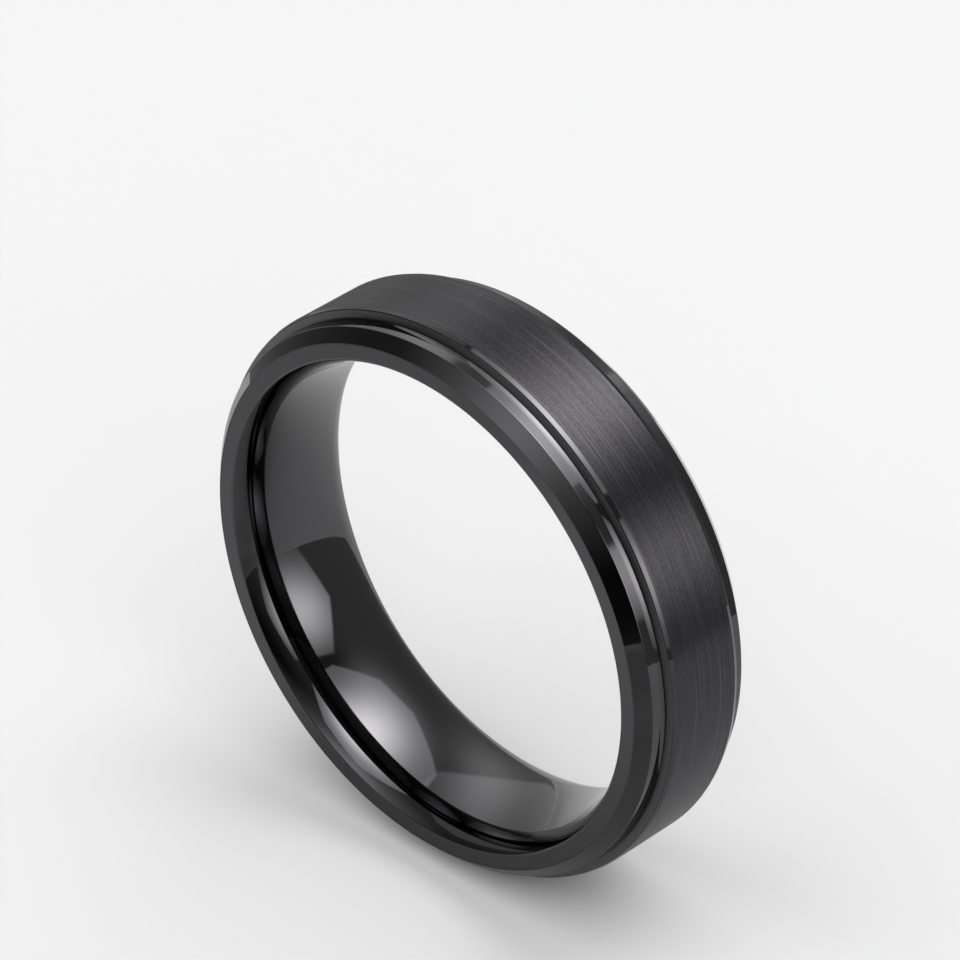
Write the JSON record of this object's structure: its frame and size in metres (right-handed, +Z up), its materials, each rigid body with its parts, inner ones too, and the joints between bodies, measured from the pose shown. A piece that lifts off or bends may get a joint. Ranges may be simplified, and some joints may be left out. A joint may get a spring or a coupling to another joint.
{
  "type": "wedding band",
  "caption": "Stepped wedding band with a brushed raised centre, polished chamfered shoulders and a domed comfort-fit bore.",
  "frame": {"origin": "centre of the finger hole, on the band's middle plane", "axes": "+Z up with the band standing on its rim; the finger hole runs along Y and the front face looks towards -Y"},
  "size_m": [0.0244, 0.006, 0.0244],
  "materials": {
    "polished_black": "black-coated tungsten carbide, mirror polished",
    "brushed_black": "black-coated tungsten carbide, fine brushed lines around the band"
  },
  "bodies": {
    "root": {"comfort_fit_sleeve": "polished_black", "brushed_centre_band": "brushed_black", "front_edge_ring": "polished_black", "rear_edge_ring": "polished_black"}
  },
  "joints": []
}
